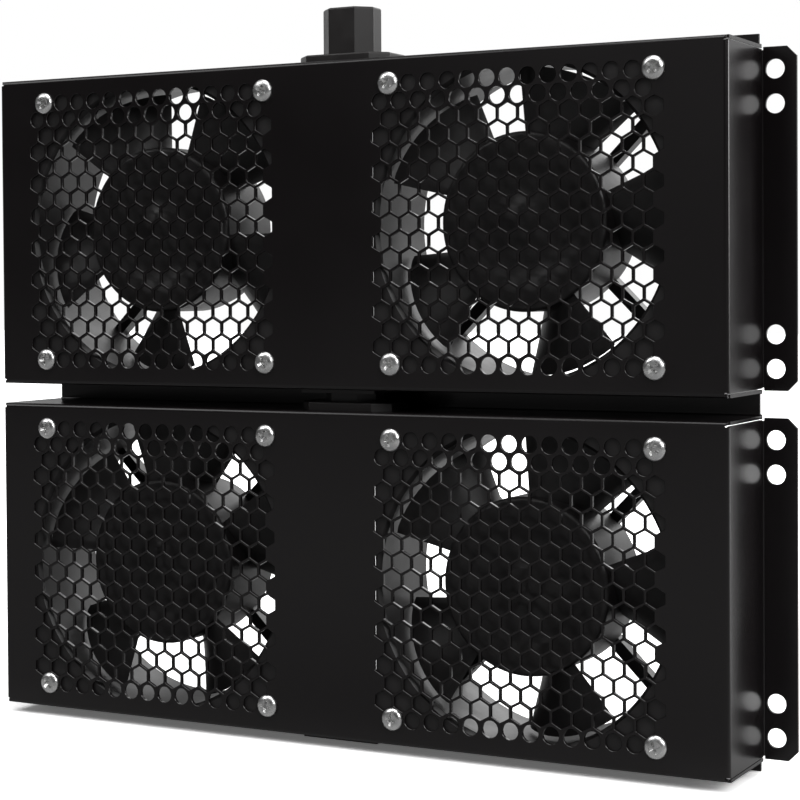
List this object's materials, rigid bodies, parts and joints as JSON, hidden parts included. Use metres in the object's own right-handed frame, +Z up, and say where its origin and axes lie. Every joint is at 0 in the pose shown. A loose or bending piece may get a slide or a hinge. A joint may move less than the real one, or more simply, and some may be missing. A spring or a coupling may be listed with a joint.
{
  "type": "rack fan tray",
  "caption": "Stacked sheet-metal fan modules with hexagonal grilles, axial fans and plug-together power couplers, bolted across a rack opening by side flanges.",
  "frame": {"origin": "middle of the four outermost rail holes, in the rear plane of the side flanges", "axes": "+Z up, +X to the right seen from the front, -Y to the front, along the fan axes"},
  "size_m": [0.3404, 0.0415, 0.2838],
  "materials": {
    "black_paint": "black powder-coated sheet steel, satin to gloss",
    "fan_casting": "black enamelled die-cast fan frame",
    "fan_plastic": "black glass-filled moulding",
    "coupler_moulding": "black satin moulding",
    "zinc": "bright zinc-plated steel",
    "brass": "nickel-washed brass",
    "stator_steel": "laminated and pressed steel",
    "bearing_steel": "ground steel"
  },
  "bodies": {
    "root": {"lower_coupler": "coupler_moulding", "lower_coupler_contacts": "brass", "lower_earth_nut": "zinc", "lower_earth_stud": "zinc", "lower_inlet": "coupler_moulding", "lower_inlet_pins": "brass", "lower_left_bearings": "bearing_steel", "lower_left_fan_frame": "fan_casting", "lower_left_screws": "zinc", "lower_left_stator": "stator_steel", "lower_left_terminals": "brass", "lower_right_bearings": "bearing_steel", "lower_right_fan_frame": "fan_casting", "lower_right_screws": "zinc", "lower_right_stator": "stator_steel", "lower_right_terminals": "brass", "lower_tray": "black_paint", "upper_coupler": "coupler_moulding", "upper_coupler_contacts": "brass", "upper_earth_nut": "zinc", "upper_earth_stud": "zinc", "upper_inlet": "coupler_moulding", "upper_inlet_pins": "brass", "upper_left_bearings": "bearing_steel", "upper_left_fan_frame": "fan_casting", "upper_left_screws": "zinc", "upper_left_stator": "stator_steel", "upper_left_terminals": "brass", "upper_right_bearings": "bearing_steel", "upper_right_fan_frame": "fan_casting", "upper_right_screws": "zinc", "upper_right_stator": "stator_steel", "upper_right_terminals": "brass", "upper_tray": "black_paint"},
    "upper_left_impeller": {"upper_left_impeller": "fan_plastic", "upper_left_rotor_cup": "stator_steel", "upper_left_shaft": "bearing_steel", "upper_left_clip": "bearing_steel"},
    "upper_right_impeller": {"upper_right_impeller": "fan_plastic", "upper_right_rotor_cup": "stator_steel", "upper_right_shaft": "bearing_steel", "upper_right_clip": "bearing_steel"},
    "lower_left_impeller": {"lower_left_impeller": "fan_plastic", "lower_left_rotor_cup": "stator_steel", "lower_left_shaft": "bearing_steel", "lower_left_clip": "bearing_steel"},
    "lower_right_impeller": {"lower_right_impeller": "fan_plastic", "lower_right_rotor_cup": "stator_steel", "lower_right_shaft": "bearing_steel", "lower_right_clip": "bearing_steel"}
  },
  "joints": [
    {"name": "upper_left_spin", "type": "hinge", "parent": "root", "child": "upper_left_impeller", "pos_m": [-0.082, -0.02, 0.06667], "axis": [0, 1, 0], "continuous": true},
    {"name": "upper_right_spin", "type": "hinge", "parent": "root", "child": "upper_right_impeller", "pos_m": [0.078, -0.02, 0.06667], "axis": [0, 1, 0], "continuous": true},
    {"name": "lower_left_spin", "type": "hinge", "parent": "root", "child": "lower_left_impeller", "pos_m": [-0.082, -0.02, -0.06667], "axis": [0, 1, 0], "continuous": true},
    {"name": "lower_right_spin", "type": "hinge", "parent": "root", "child": "lower_right_impeller", "pos_m": [0.078, -0.02, -0.06667], "axis": [0, 1, 0], "continuous": true}
  ]
}
